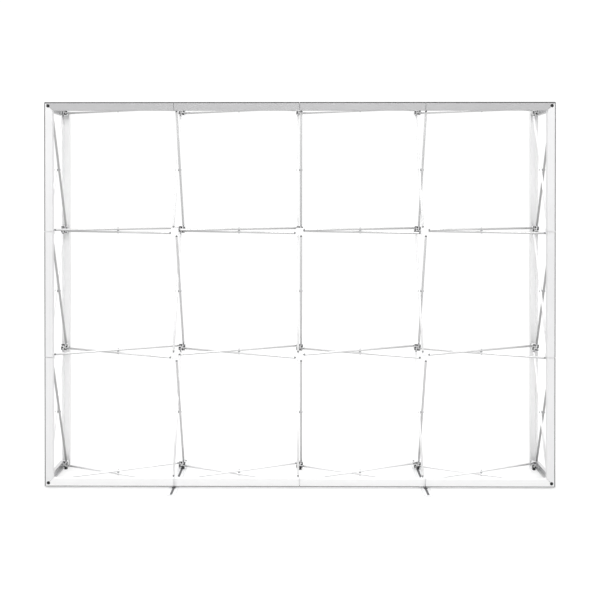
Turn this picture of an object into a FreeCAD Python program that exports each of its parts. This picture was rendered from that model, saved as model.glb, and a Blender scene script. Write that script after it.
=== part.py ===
import FreeCAD, Part
import Sketcher
import math
import os
import re

# Pop-up frame of a push-fit fabric display wall, four bays wide and three bays high.
# A front grid and a rear grid of moulded hubs are joined by pairs of crossed tubes, which
# make it fold up like scissors. Channel bars round the edge hold the silicone strip that is
# sewn to a fabric print. Every bar is hinged to one hub and clips over a catch on the next.
# Origin: on the floor, in the middle. X runs along the wall, the front faces -Y, Z is up.
# Units: millimetres.

V = FreeCAD.Vector
EAST, NORTH, UP = V(1, 0, 0), V(0, 1, 0), V(0, 0, 1)
WEST, SOUTH, DOWN = -EAST, -NORTH, -UP

doc = FreeCAD.newDocument("DisplayWallFrame")
sheet = doc.addObject("Spreadsheet::Sheet", "sizes")

# The driving sizes, each written once.
SIZES = [
    ("bay_columns", 4, "bays along the wall"),
    ("bay_rows", 3, "bays up the wall"),
    ("bay_pitch", 734, "from hub centre to hub centre, both ways"),
    ("hub_height", 30, "lowest hub centres above the floor"),
    ("hub_plane", 150, "from the middle plane of the wall to the tongue pins"),
    ("hub_width", 44, "square hub across its flats"),
    ("hub_depth", 22, "hub from its outer to its inner side"),
    ("hub_web", 4, "wall that closes the outer side of a hub"),
    ("hub_corner", 6, "cut corner of a hub"),
    ("pin_circle", 15, "from the hub centre to the tongue pins"),
    ("arm_offset", 9, "tube centre line beside the hub centre line"),
    ("slot_reach", 7, "slot behind the tongue pin"),
    ("slot_clearance", 0.3, "each side of a tongue in its slot"),
    ("tongue_thickness", 6.4, "end plug across its flat sides"),
    ("tongue_width", 8.4, "end plug across its edges"),
    ("plug_insert", 24, "length of the end plug inside the tube"),
    ("tube_diameter", 13, "outside of a tube across its flats"),
    ("tube_wall", 1, "wall of a tube"),
    ("tube_sides", 8, "flats that stand for the round of a tube"),
    ("tube_start", 16, "from the tongue pin to the end of the tube"),
    ("spacer_margin", 1.5, "spacer between two crossed tubes, short of the side of a tube"),
    ("bar_face", 48, "width of the visible face of a channel bar"),
    ("bar_depth", 30, "depth of a front or rear channel bar"),
    ("side_bar_depth", 20, "depth of a channel bar at the ends of the wall"),
    ("bar_wall", 1.6, "wall of the bar extrusion"),
    ("bar_lip", 2, "outer lip of the groove"),
    ("groove_width", 3.4, "groove for the silicone strip"),
    ("groove_depth", 14, "depth of that groove"),
    ("bar_overhang", 22, "from the hub centre line to the outer edge of the frame"),
    ("bar_seam", 2.5, "gap between two bars in line"),
    ("mitre_gap", 1, "gap between two mitred bars, along each bar"),
    ("bar_standoff", 4, "between a hub and the back of a front or rear bar"),
    ("hinge_depth", 6, "hinge pin behind the face of its bar"),
    ("hinge_setback", 11, "hinge pin from the end of its bar"),
    ("hinge_pin_radius", 2, "hinge pin over its corners"),
    ("hinge_pin_sides", 6, "flats that stand for the round of a hinge pin"),
    ("hinge_clearance", 0.15, "round the hinge pin as it turns"),
    ("lug_nose", 3.9, "half width of a hinge lug"),
    ("nose_turn", 90, "degrees of a lug's nose that are round"),
    ("lug_height", 24, "hinge lug along its pin"),
    ("lug_heel", 16, "heel of a side bar lug along the wall"),
    ("lug_standoff", 4, "heel of a side bar lug behind the bar"),
    ("catch_width", 8, "catch along its bar"),
    ("catch_setback", 5, "catch from the end of its bar"),
    ("catch_gap", 0.5, "catch behind the face wall of its bar"),
    ("side_gap", 2, "side bar short of the hub at each end"),
    ("side_catch_reach", 14, "side bar catch from the hub into the bar"),
    ("post_radius", 9.5, "corner post over its corners"),
    ("post_gap", 0.7, "round the corner post"),
    ("post_recess", 1, "corner post behind the face of the bars"),
    ("post_sides", 12, "flats that stand for the round of a corner post"),
    ("pad_width", 16, "rubber hub foot along the wall"),
    ("pad_offset", 4, "hub foot beside the hub centre line"),
    ("pad_margin", 1, "hub foot short of the outer side of the hub"),
    ("pad_tab", 3, "thickness of the tab on the inner side of the hub"),
    ("pad_tab_top", 24, "top of that tab above the floor"),
    ("corner_pad_offset", 8, "hub foot at a corner of the wall, towards the middle of the wall"),
    ("corner_pad_tab_top", 16, "top of the tab at a corner above the floor"),
    ("foot_width", 56, "stabiliser plate along the wall"),
    ("foot_length", 640, "stabiliser plate front to back"),
    ("foot_thickness", 4, "stabiliser plate"),
    ("foot_taper", 14, "cut corner of the plate"),
    ("foot_window_gap", 0.5, "plate window round a hub foot"),
    ("foot_column", 1, "bays from the end of the wall to a stabiliser"),
    ("strip_width", 9, "rubber strip on a stabiliser plate"),
    ("strip_height", 3.4, "rubber strip on a stabiliser plate"),
    ("strip_end", 12, "strip short of the end of the plate"),
    ("strip_gap", 2, "strip short of a plate window"),
    ("cut_overrun", 2, "extra length of a cutting shape"),
]
for line, (alias, value, meaning) in enumerate(SIZES, start=1):
    sheet.set(f"A{line}", meaning)
    sheet.set(f"B{line}", str(value))
    sheet.setAlias(f"B{line}", alias)
doc.recompute()

ALIASES = {alias for alias, _, _ in SIZES}
ZERO_LIMIT = 1e-7


def size(expression):
    """Value of an expression in the names of the sheet."""
    value = sheet.evalExpression(expression)
    return float(getattr(value, "Value", value))


def sized(expression):
    """The same expression as other objects write it, with the sheet's name before each size."""
    return re.sub(r"[a-z_]+", lambda word: ("sizes." if word[0] in ALIASES else "") + word[0], expression)


def bind(thing, **expressions):
    """Bind properties of an object to expressions in the names of the sheet."""
    for name, expression in expressions.items():
        thing.setExpression(name.replace("__", "."), sized(expression))
    return thing


def move(thing, x="0", y="0", z="0", turn=FreeCAD.Rotation()):
    """Turn an object and bind its place."""
    thing.Placement = FreeCAD.Placement(V(), turn)
    return bind(thing, Placement__Base__x=x, Placement__Base__y=y, Placement__Base__z=z)


def frame_of(across, inward, along):
    """Rotation that lays the local X, Y and Z axes along three directions."""
    return FreeCAD.Rotation(across, inward, along, "ZYX")


def hold(sketch, vertex, expression, sideways):
    """Hold one coordinate of a sketch vertex at the value of an expression."""
    kind = "DistanceX" if sideways else "DistanceY"
    value = size(expression)
    if abs(value) < ZERO_LIMIT:
        axis = -2 if sideways else -1
        sketch.addConstraint(Sketcher.Constraint("PointOnObject", vertex, 1, axis))
        return
    ends = (-1, 1, vertex, 1) if value > 0 else (vertex, 1, -1, 1)
    index = sketch.addConstraint(Sketcher.Constraint(kind, *ends, abs(value)))
    positive = expression if value > 0 else f"-({expression})"
    sketch.setExpression(f"Constraints[{index}]", sized(positive))


def sketch_on(body, role, wires, lift="0", nosed=False):
    """A sketch on one of the body's own planes, with closed outlines of held vertices.

    The first side of the first outline is straight or, if nosed, an arc about the origin.
    """
    sketch = body.newObject("Sketcher::SketchObject", "outline")
    plane = next(item for item in body.Origin.OriginFeatures if item.Role == role)
    sketch.AttachmentSupport = (plane, "")
    sketch.MapMode = "FlatFace"
    bind(sketch, AttachmentOffset__Base__z=lift)
    for wire in wires:
        places = [V(size(x), size(y), 0) for x, y in wire]
        first = sketch.GeometryCount
        count = len(wire)
        for k in range(count):
            start, end = places[k], places[(k + 1) % count]
            if nosed and first + k == 0:
                angles = [math.atan2(point.y, point.x) % math.tau for point in (start, end)]
                sketch.addGeometry(Part.ArcOfCircle(Part.Circle(V(), UP, start.Length), *angles), False)
                sketch.addConstraint(Sketcher.Constraint("PointOnObject", 0, 3, -2))
            else:
                sketch.addGeometry(Part.LineSegment(start, end), False)
        for k in range(count):
            sketch.addConstraint(Sketcher.Constraint("Coincident", first + k, 2, first + (k + 1) % count, 1))
        for k, (x, y) in enumerate(wire):
            hold(sketch, first + k, x, True)
            hold(sketch, first + k, y, False)
    return sketch


def body_named(label):
    body = doc.addObject("PartDesign::Body", label)
    body.Label = label
    return body


def pad(body, role, wires, length, lift="0", nosed=False):
    """Add material from a sketch, along the normal of its plane."""
    feature = body.newObject("PartDesign::Pad", "pad")
    feature.Profile = sketch_on(body, role, wires, lift, nosed)
    return bind(feature, Length=length)


def pocket(body, role, wires, lift="0"):
    """Cut right through from a sketch, against the normal of its plane."""
    feature = body.newObject("PartDesign::Pocket", "pocket")
    feature.Profile = sketch_on(body, role, wires, lift)
    feature.Type = "ThroughAll"
    return feature


def rectangle(left, right, bottom, top):
    return [(left, bottom), (right, bottom), (right, top), (left, top)]


def polygon(x, y, radius, sides, turned="0"):
    """A regular polygon over its corners."""
    return [
        (f"{x} + {radius} * cos({k} * 360 / {sides} + {turned})",
         f"{y} + {radius} * sin({k} * 360 / {sides} + {turned})")
        for k in range(round(size(str(sides))))
    ]


def copies(label, master, places):
    """One node of separate solids, each a copy of a master piece at its own place."""
    doc.recompute()
    solids = []
    for place in places:
        solid = master.Shape.copy()
        solid.Placement = place.multiply(solid.Placement)
        solids.append(solid)
    node = doc.addObject("Part::Feature", label)
    node.Label = label
    node.Shape = Part.makeCompound(solids)
    nodes.append(node)
    return node


nodes = []

# Where the hubs are: columns from left to right, rows from the floor up.
COLUMNS = range(round(size("bay_columns")) + 1)
ROWS = range(round(size("bay_rows")) + 1)
LAST_COLUMN, LAST_ROW = COLUMNS[-1], ROWS[-1]


def column_x(column):
    return f"({column} - bay_columns / 2) * bay_pitch"


def row_z(row):
    return f"hub_height + {row} * bay_pitch"


def hub_centre(column, row, facing):
    """Centre of a hub in its pin plane; facing is SOUTH in front and NORTH behind."""
    return V(size(column_x(column)), size("hub_plane") * facing.y, size(row_z(row)))


def turned_to(facing):
    """The front hubs lie as modelled; the rear ones are the same part turned half round."""
    return FreeCAD.Rotation() if facing == SOUTH else FreeCAD.Rotation(UP, 180)


# Hub: a square moulding with four slots, set off centre like the sails of a windmill, so
# that the tubes of each crossed pair pass side by side.
def make_hub():
    body = body_named("hub_moulding")
    edge, cut = "hub_width / 2", "hub_corner"
    square = [
        (f"{cut} - {edge}", f"-{edge}"), (f"{edge} - {cut}", f"-{edge}"),
        (edge, f"{cut} - {edge}"), (edge, f"{edge} - {cut}"),
        (f"{edge} - {cut}", edge), (f"{cut} - {edge}", edge),
        (f"-{edge}", f"{edge} - {cut}"), (f"-{edge}", f"{cut} - {edge}"),
    ]
    pad(body, "XZ_Plane", [square], "hub_depth", lift="-hub_depth / 2")
    near, far = "pin_circle - slot_reach", "hub_width / 2 + cut_overrun"
    low = "arm_offset - tongue_thickness / 2 - slot_clearance"
    high = "arm_offset + tongue_thickness / 2 + slot_clearance"
    slots = [
        rectangle(near, far, low, high),
        rectangle(low, high, f"-({far})", f"-({near})"),
        rectangle(f"-({far})", f"-({near})", f"-({high})", f"-({low})"),
        rectangle(f"-({high})", f"-({low})", near, far),
    ]
    pocket(body, "XZ_Plane", slots, lift="hub_depth / 2 - hub_web")
    return body


# End plug: a flat moulding pushed into the tube, whose tongue is pinned in the hub slot.
def make_plug():
    body = body_named("end_plug_moulding")
    half = "tongue_width / 2"
    outline = rectangle(f"-{half}", half, f"-{half}", "tube_start + plug_insert")
    pad(body, "YZ_Plane", [outline], "tongue_thickness", lift="-tongue_thickness / 2")
    return body


# Tube: thin-walled, the same length everywhere because the bays are square.
def make_tube():
    run = "sqrt((bay_pitch - 2 * pin_circle)^2 + (2 * hub_plane)^2) - 2 * tube_start"
    half_turn = "180 / tube_sides"
    skins = []
    for name, wall in (("tube_outside", "0"), ("tube_bore", "tube_wall")):
        skin = doc.addObject("Part::Prism", name)
        skin.Polygon = round(size("tube_sides"))
        radius = f"(tube_diameter / 2 - {wall}) / cos({half_turn})"
        bind(skin, Circumradius=radius, Height=run)
        move(skin, z="tube_start", turn=FreeCAD.Rotation(UP, size(half_turn)))
        skins.append(skin)
    tube = doc.addObject("Part::Cut", "tube_extrusion")
    tube.Base, tube.Tool = skins
    return tube


# Spacer between two crossed tubes, on the rivet that they turn on.
def make_spacer():
    spacer = doc.addObject("Part::Prism", "pivot_spacer_moulding")
    spacer.Polygon = 6
    bind(spacer, Circumradius="tube_diameter / 2 - spacer_margin", Height="2 * arm_offset - tube_diameter")
    return move(spacer, z="tube_diameter / 2 - arm_offset")


def arm(pin, target, across):
    """Place of a tube or plug that starts at one pin and points at another."""
    along = (target - pin).normalize()
    return FreeCAD.Placement(pin, frame_of(across, along.cross(across), along))


def crossed_pair(first_hub, second_hub, step, side, flip):
    """Pins of one tube of a crossed pair, from a front hub to the next rear hub along step."""
    offset = side * (size("arm_offset") * flip)
    start = hub_centre(*first_hub, SOUTH) + step * size("pin_circle") + offset
    end = hub_centre(*second_hub, NORTH) - step * size("pin_circle") + offset
    return start, end, side


hub, plug, tube, spacer = make_hub(), make_plug(), make_tube(), make_spacer()


def is_edge(column, row):
    return column in (0, LAST_COLUMN) or row in (0, LAST_ROW)


for side_name, facing in (("front", SOUTH), ("rear", NORTH)):
    for group, wanted in (("edge", True), ("inner", False)):
        places = [
            FreeCAD.Placement(hub_centre(column, row, facing), turned_to(facing))
            for column in COLUMNS for row in ROWS if is_edge(column, row) == wanted
        ]
        copies(f"{side_name}_{group}_hubs", hub, places)

pairs = []
for row in ROWS:
    eastward = [crossed_pair((c, row), (c + 1, row), EAST, UP, 1) for c in COLUMNS[:-1]]
    westward = [crossed_pair((c + 1, row), (c, row), WEST, UP, -1) for c in COLUMNS[:-1]]
    pairs += [(f"row_{row + 1}_upper_tubes", eastward), (f"row_{row + 1}_lower_tubes", westward)]
for column in COLUMNS:
    downward = [crossed_pair((column, r + 1), (column, r), DOWN, EAST, 1) for r in ROWS[:-1]]
    upward = [crossed_pair((column, r), (column, r + 1), UP, EAST, -1) for r in ROWS[:-1]]
    pairs += [
        (f"column_{column + 1}_falling_tubes", downward),
        (f"column_{column + 1}_rising_tubes", upward),
    ]
for label, arms in pairs:
    copies(label, tube, [arm(start, end, side) for start, end, side in arms])
every_arm = [one for _, arms in pairs for one in arms]
copies("front_end_plugs", plug, [arm(start, end, side) for start, end, side in every_arm])
copies("rear_end_plugs", plug, [arm(end, start, side) for start, end, side in every_arm])


def crossing(start, end, side):
    """Place of a spacer at the middle of a tube, halfway to its partner."""
    middle = (start + end) * 0.5
    shared = hub_line(middle, side)
    return FreeCAD.Placement(shared, FreeCAD.Rotation(UP, side))


def hub_line(middle, side):
    """The middle of a tube, moved off its own centre line to the one that the hubs share."""
    return middle - side * size("arm_offset")


shared_crossings = [one for label, arms in pairs if "upper" in label or "falling" in label for one in arms]
copies("pivot_spacers", spacer, [crossing(*one) for one in shared_crossings])


# Channel bar: an extrusion open at the back, with the groove for the print's silicone
# strip just inside its outer lip. Its hinge pin is set between its walls near one end.
# Local axes: X across the face, Y inward from the face, Z from the hinge to the free end.
CHAMBER_END = "(bar_face - bar_lip - groove_width - bar_wall)"
GROOVE_START = "(bar_face - bar_lip - groove_width)"
GROOVE_END = "(bar_face - bar_lip)"
INNER_LINE = "(bar_face - bar_overhang)"

# From the middle plane of the wall to the faces of the front and rear bars.
HALF_DEPTH = "(hub_plane + hub_depth / 2 + bar_standoff + bar_depth)"


def make_bar(label, outer, inward, along, place, length, depth="bar_depth", mitred=False):
    """One bar; outer points to the frame's outer edge and place is that edge at the hinge end."""
    body = body_named(label)
    across = inward.cross(along)
    mirrored = across.dot(outer) < 0

    def u(expression):
        """Distance from the inner edge of the face, as the local X."""
        return f"bar_face - ({expression})" if mirrored else expression

    floor = "groove_depth + bar_wall"
    profile = [
        ("0", "0"), (GROOVE_START, "0"), (GROOVE_START, "groove_depth"), (GROOVE_END, "groove_depth"),
        (GROOVE_END, "0"), ("bar_face", "0"), ("bar_face", depth), ("bar_face - bar_wall", depth),
        ("bar_face - bar_wall", floor), (CHAMBER_END, floor), (CHAMBER_END, "bar_wall"),
        ("bar_wall", "bar_wall"), ("bar_wall", depth), ("0", depth),
    ]
    pad(body, "XY_Plane", [[(u(x), y) for x, y in profile]], length)
    pin_start = u(CHAMBER_END) if mirrored else "bar_wall"
    pin = polygon("hinge_depth", "hinge_setback", "hinge_pin_radius", "hinge_pin_sides")
    pad(body, "YZ_Plane", [pin], f"{CHAMBER_END} - bar_wall", lift=pin_start)
    if mitred:
        end = f"({length} - mitre_gap)"
        past = f"({length} + cut_overrun)"
        mitre = [(u("0"), f"{end} - bar_face"), (u("bar_face"), end), (u("bar_face"), past), (u("0"), past)]
        pocket(body, "XZ_Plane", [mitre])
        hole = polygon(u(INNER_LINE), f"{length} - bar_overhang", "(post_radius + post_gap)", "post_sides")
        pocket(body, "XZ_Plane", [hole])
    lowered = [
        f"{expression} - bar_face * {component:g}" if component and not mirrored else expression
        for expression, component in zip(place, outer)
    ]
    move(body, *lowered, turn=frame_of(across, inward, along))
    nodes.append(body)
    return body


# Hinge lug: an eye with a round nose, on a heel that ends on the hub. The pin is its origin.
def make_lug(label, heel):
    body = body_named(label)
    flat_end = "-(lug_nose * tan(nose_turn / 4))"
    arc_x, arc_y = "-(lug_nose * cos(nose_turn / 2))", "lug_nose * sin(nose_turn / 2)"
    nose = [(arc_x, arc_y), (arc_x, f"-({arc_y})"), (flat_end, "-lug_nose")]
    outline = nose + heel + [(flat_end, "lug_nose")]
    eye_corner = "(hinge_pin_radius + hinge_clearance) / cos(180 / hinge_pin_sides)"
    eye = polygon("0", "0", eye_corner, "hinge_pin_sides")
    pad(body, "YZ_Plane", [outline, eye], "lug_height", lift="-lug_height / 2", nosed=True)
    return body


# The lug of a front or rear bar stands straight out from the outer side of its hub.
OUTER_REACH = "(bar_standoff + bar_depth)"
straight_lug = make_lug("straight_lug_moulding", [
    (f"{OUTER_REACH} - hinge_depth", "-lug_nose"), (f"{OUTER_REACH} - hinge_depth", "lug_nose"),
])

# The lug of a side bar reaches round the back of the bar from the inner side of the hub.
HEEL_NEAR = "(side_bar_depth - hinge_depth + lug_standoff)"
HEEL_FOOT = "-(hinge_setback + side_gap)"
side_lug = make_lug("side_lug_moulding", [
    (HEEL_NEAR, "-lug_nose"), (HEEL_NEAR, HEEL_FOOT),
    (f"{HEEL_NEAR} + lug_heel", HEEL_FOOT), (f"{HEEL_NEAR} + lug_heel", "lug_nose"),
])


# Catches: blocks on the hubs that the free ends of the bars snap over.
def make_catch(label, depth, length, back_from_hub):
    block = doc.addObject("Part::Box", label)
    bind(block, Length="lug_height", Width=depth, Height=length)
    return move(block, x="-lug_height / 2", y="bar_wall + catch_gap", z=f"-({back_from_hub})")


bar_catch = make_catch("catch_moulding", f"{OUTER_REACH} - bar_wall - catch_gap", "catch_width",
                       "bar_seam / 2 + catch_setback + catch_width")
side_catch = make_catch("side_catch_moulding", "catch_width", "side_catch_reach", "side_catch_reach")

# The middle of a bar's hollow, measured outward from the hub centre line.
HOLLOW_LINE = f"({GROOVE_START} / 2 - {INNER_LINE})"

lug_places, side_lug_places, catch_places, side_catch_places, post_places = [], [], [], [], []


def fit_bar(label, outer, inward, along, hinge_hub, free_hub, corner, mitred):
    """A bar between two hubs of one face, with the lug at its hinge and the catch at its free end."""
    face_y = f"{-inward.y:g} * {HALF_DEPTH}"
    x = f"{column_x(hinge_hub[0])} + {along.x:g} * bar_seam / 2 + {outer.x:g} * bar_overhang"
    z = f"{row_z(hinge_hub[1])} + {along.z:g} * bar_seam / 2 + {outer.z:g} * bar_overhang"
    length = "(bay_pitch + bar_overhang - bar_seam / 2)" if corner else "(bay_pitch - bar_seam)"
    make_bar(label, outer, inward, along, (x, face_y, z), length, mitred=mitred)
    turn = frame_of(inward.cross(along), inward, along)
    middle = outer * size(HOLLOW_LINE)
    hinge = hub_centre(*hinge_hub, -inward) + middle + along * size("bar_seam / 2 + hinge_setback")
    hinge.y = size(f"{face_y} + {inward.y:g} * hinge_depth")
    lug_places.append(FreeCAD.Placement(hinge, turn))
    if not mitred:
        catch = hub_centre(*free_hub, -inward) + middle
        catch.y = size(face_y)
        catch_places.append(FreeCAD.Placement(catch, turn))


# Front top and bottom bars, numbered from the left; they hinge towards the middle of the wall.
for edge, outer, row in (("top", UP, LAST_ROW), ("bottom", DOWN, 0)):
    for k in COLUMNS[:-1]:
        leftward = k < LAST_COLUMN / 2
        ends = ((k + 1, row), (k, row)) if leftward else ((k, row), (k + 1, row))
        corner = k in (0, LAST_COLUMN - 1)
        fit_bar(f"front_{edge}_bar_{k + 1}", outer, NORTH, WEST if leftward else EAST, *ends, corner, corner)

# Upright bars, numbered from the top; the top one hinges at its lower end, the others above.
for face, inward in (("front", NORTH), ("rear", SOUTH)):
    for edge, outer, column in (("left", WEST, 0), ("right", EAST, LAST_COLUMN)):
        for k, row in enumerate(reversed(ROWS[:-1])):
            upward = k == 0
            ends = ((column, row), (column, row + 1)) if upward else ((column, row + 1), (column, row))
            corner = row in (0, LAST_ROW - 1)
            label = f"{face}_{edge}_bar_{k + 1}"
            fit_bar(label, outer, inward, UP if upward else DOWN, *ends, corner, corner and face == "front")

# Side bars, front to back at the four corners of the wall, hinged at the front.
SIDE_END = "(hub_plane - hub_depth / 2 - side_gap)"
for height, outer, row in (("top", UP, LAST_ROW), ("bottom", DOWN, 0)):
    for edge, inward, column in (("left", EAST, 0), ("right", WEST, LAST_COLUMN)):
        x = f"{column_x(column)} - {inward.x:g} * bar_overhang"
        z = f"{row_z(row)} + {outer.z:g} * bar_overhang"
        label = f"{height}_{edge}_side_bar"
        make_bar(label, outer, inward, NORTH, (x, f"-{SIDE_END}", z), f"(2 * {SIDE_END})", "side_bar_depth")
        turn = frame_of(inward.cross(NORTH), inward, NORTH)
        line = f"{row_z(row)} + {outer.z:g} * {HOLLOW_LINE}"
        pin_y = f"hinge_setback - {SIDE_END}"
        hinge = V(size(f"{x} + {inward.x:g} * hinge_depth"), size(pin_y), size(line))
        side_lug_places.append(FreeCAD.Placement(hinge, turn))
        catch = V(size(x), size(f"{SIDE_END} + side_gap"), size(line))
        side_catch_places.append(FreeCAD.Placement(catch, turn))

copies("bar_hinge_lugs", straight_lug, lug_places)
copies("side_bar_hinge_lugs", side_lug, side_lug_places)
copies("bar_catches", bar_catch, catch_places)
copies("side_bar_catches", side_catch, side_catch_places)

# Corner posts: the black round studs that the mitred bar ends snap round.
post = doc.addObject("Part::Prism", "post_moulding")
post.Polygon = round(size("post_sides"))
bind(post, Circumradius="post_radius", Height=f"{OUTER_REACH} - post_recess")
for column in (0, LAST_COLUMN):
    for row in (0, LAST_ROW):
        place = hub_centre(column, row, SOUTH)
        place.y = -size(f"{HALF_DEPTH} - post_recess")
        post_places.append(FreeCAD.Placement(place, FreeCAD.Rotation(UP, NORTH)))
copies("corner_posts", post, post_places)

# Rubber feet under the bottom hubs, each with a tab up the inner side of its hub. The tab is
# lower at the corners of the wall, to pass under the catch and the lug of the side bars.
PAD_OUTER = "(hub_depth / 2 - pad_margin)"
PAD_INNER = "(hub_depth / 2 + pad_tab)"
HUB_BOTTOM = "(hub_height - hub_width / 2)"


def make_hub_foot(label, top):
    body = body_named(label)
    outline = [
        (f"-{PAD_OUTER}", "0"), (PAD_INNER, "0"), (PAD_INNER, top),
        ("hub_depth / 2", top), ("hub_depth / 2", HUB_BOTTOM), (f"-{PAD_OUTER}", HUB_BOTTOM),
    ]
    pad(body, "YZ_Plane", [outline], "pad_width", lift="-pad_width / 2")
    return body


hub_foot = make_hub_foot("hub_foot_moulding", "pad_tab_top")
corner_hub_foot = make_hub_foot("corner_hub_foot_moulding", "corner_pad_tab_top")
foot_places, corner_foot_places = [], []
for facing in (SOUTH, NORTH):
    for column in COLUMNS:
        place = hub_centre(column, 0, facing)
        place.z = 0
        at_corner = column in (0, LAST_COLUMN)
        if at_corner:
            place.x += size("corner_pad_offset") * (1 if column == 0 else -1)
        else:
            place.x += size("pad_offset") * facing.y
        (corner_foot_places if at_corner else foot_places).append(FreeCAD.Placement(place, turned_to(facing)))
copies("hub_feet", hub_foot, foot_places)
copies("corner_hub_feet", corner_hub_foot, corner_foot_places)

# Stabilisers: flat plates under the frame that reach out in front and behind. Windows in
# the plate drop over the rubber feet of two hubs, and a rubber strip runs along its top.
WINDOW_OUTER = f"(hub_plane + {PAD_OUTER} + foot_window_gap)"
WINDOW_INNER = f"(hub_plane - {PAD_INNER} - foot_window_gap)"
for edge, column in (("left", "foot_column"), ("right", "(bay_columns - foot_column)")):
    body = body_named(f"{edge}_stabiliser_plate")
    half_x, half_y, cut = "foot_width / 2", "foot_length / 2", "foot_taper"
    outline = [
        (f"{cut} - {half_x}", f"-{half_y}"), (f"{half_x} - {cut}", f"-{half_y}"),
        (half_x, f"{cut} - {half_y}"), (half_x, f"{half_y} - {cut}"),
        (f"{half_x} - {cut}", half_y), (f"{cut} - {half_x}", half_y),
        (f"-{half_x}", f"{half_y} - {cut}"), (f"-{half_x}", f"{cut} - {half_y}"),
    ]
    pad_half = "(pad_width / 2 + foot_window_gap)"
    front_window = rectangle(f"-pad_offset - {pad_half}", f"{pad_half} - pad_offset",
                             f"-{WINDOW_OUTER}", f"-{WINDOW_INNER}")
    rear_window = rectangle(f"pad_offset - {pad_half}", f"pad_offset + {pad_half}",
                            WINDOW_INNER, WINDOW_OUTER)
    pad(body, "XY_Plane", [outline, front_window, rear_window], "foot_thickness")
    move(body, x=column_x(column))
    nodes.append(body)

    spans = [
        (f"strip_end - {half_y}", f"-{WINDOW_OUTER} - strip_gap"),
        (f"strip_gap - {WINDOW_INNER}", f"{WINDOW_INNER} - strip_gap"),
        (f"{WINDOW_OUTER} + strip_gap", f"{half_y} - strip_end"),
    ]
    lengths = []
    for start, end in spans:
        length = doc.addObject("Part::Box", "strip_length")
        bind(length, Length="strip_width", Width=f"{end} - ({start})", Height="strip_height")
        move(length, x=f"{column_x(column)} - strip_width / 2", y=start, z="foot_thickness")
        lengths.append(length)
    strip = doc.addObject("Part::Compound", f"{edge}_stabiliser_strip")
    strip.Label = f"{edge}_stabiliser_strip"
    strip.Links = lengths
    nodes.append(strip)

doc.recompute()

for thing in doc.Objects:
    if "Invalid" in thing.State or "Error" in thing.State:
        raise RuntimeError(f"{thing.Label} did not compute: {thing.State}")
    if thing.TypeId == "PartDesign::Pocket" and thing.Shape.Volume >= thing.BaseFeature.Shape.Volume:
        raise RuntimeError(f"{thing.Label} cuts nothing")
os.makedirs("parts", exist_ok=True)
for node in nodes:
    if node.Shape.isNull() or not node.Shape.isValid() or not node.Shape.Solids:
        raise RuntimeError(f"{node.Label} has no valid shape")
for node in nodes:
    node.Shape.exportStep(f"parts/{node.Label}.step")
print(len(nodes), "nodes,", sum(len(node.Shape.Solids) for node in nodes), "solids")
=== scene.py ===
import bmesh
import bpy
import math
from mathutils import Matrix, Vector


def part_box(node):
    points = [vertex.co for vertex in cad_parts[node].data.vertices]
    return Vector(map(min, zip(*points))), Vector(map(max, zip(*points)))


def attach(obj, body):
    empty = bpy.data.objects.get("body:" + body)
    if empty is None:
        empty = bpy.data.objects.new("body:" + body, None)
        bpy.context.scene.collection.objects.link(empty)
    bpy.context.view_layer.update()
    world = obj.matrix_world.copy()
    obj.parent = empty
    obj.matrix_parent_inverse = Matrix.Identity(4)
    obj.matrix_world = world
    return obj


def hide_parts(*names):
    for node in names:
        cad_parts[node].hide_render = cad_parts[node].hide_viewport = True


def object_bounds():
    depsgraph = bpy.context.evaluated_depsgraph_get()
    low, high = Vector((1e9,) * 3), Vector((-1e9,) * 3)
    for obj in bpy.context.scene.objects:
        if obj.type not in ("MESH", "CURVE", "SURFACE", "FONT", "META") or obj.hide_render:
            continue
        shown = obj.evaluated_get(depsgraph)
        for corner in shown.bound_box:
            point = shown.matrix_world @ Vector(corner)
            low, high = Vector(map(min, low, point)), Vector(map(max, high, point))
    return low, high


# Looks of a pop-up display wall frame: crossed tubes between moulded hubs, edged with channel bars.
# Everything is in metres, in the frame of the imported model: X along the wall, front to -Y, Z up.
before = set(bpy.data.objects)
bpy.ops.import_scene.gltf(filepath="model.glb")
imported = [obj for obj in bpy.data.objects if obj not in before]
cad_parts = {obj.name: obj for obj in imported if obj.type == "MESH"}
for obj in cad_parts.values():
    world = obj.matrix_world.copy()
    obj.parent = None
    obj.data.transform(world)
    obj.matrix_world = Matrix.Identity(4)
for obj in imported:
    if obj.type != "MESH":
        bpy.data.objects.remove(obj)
cad_low, cad_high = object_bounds()


# Studio floor: a plain pale sheet. To the camera it also glows a little, so that it reads as pale
# as the backdrop, while it lights the wall only by the soft light that it bounces.
FLOOR_HALF = 30.0
FLOOR_PAINT, FLOOR_BOUNCE = (0.40, 0.40, 0.40, 1), (0.59, 0.59, 0.59, 1)
FLOOR_ROUGHNESS, FLOOR_GLOW = 0.8, 0.52
WHITE = (1, 1, 1, 1)


def mesh_object(name, mesh):
    piece = bpy.data.objects.new(name, mesh)
    bpy.context.scene.collection.objects.link(piece)
    return piece


def add_node(tree, kind, settings=(), **values):
    """A shader node; its inputs are set or linked by name, or by number as i0, i1 and so on."""
    node = tree.nodes.new(kind)
    for key, value in dict(settings).items():
        setattr(node, key, value)
    for key, value in values.items():
        by_number = key[0] == "i" and key[1:].isdigit()
        socket = node.inputs[int(key[1:]) if by_number else key.replace("_", " ")]
        if isinstance(value, bpy.types.NodeSocket):
            tree.links.new(value, socket)
        else:
            socket.default_value = value
    return node


floor_mesh = bpy.data.meshes.new("studio_floor")
floor_corners = [(-FLOOR_HALF, -FLOOR_HALF, 0), (FLOOR_HALF, -FLOOR_HALF, 0),
                 (FLOOR_HALF, FLOOR_HALF, 0), (-FLOOR_HALF, FLOOR_HALF, 0)]
floor_mesh.from_pydata(floor_corners, [], [(0, 1, 2, 3)])
studio_floor = mesh_object("studio_floor", floor_mesh)

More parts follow.
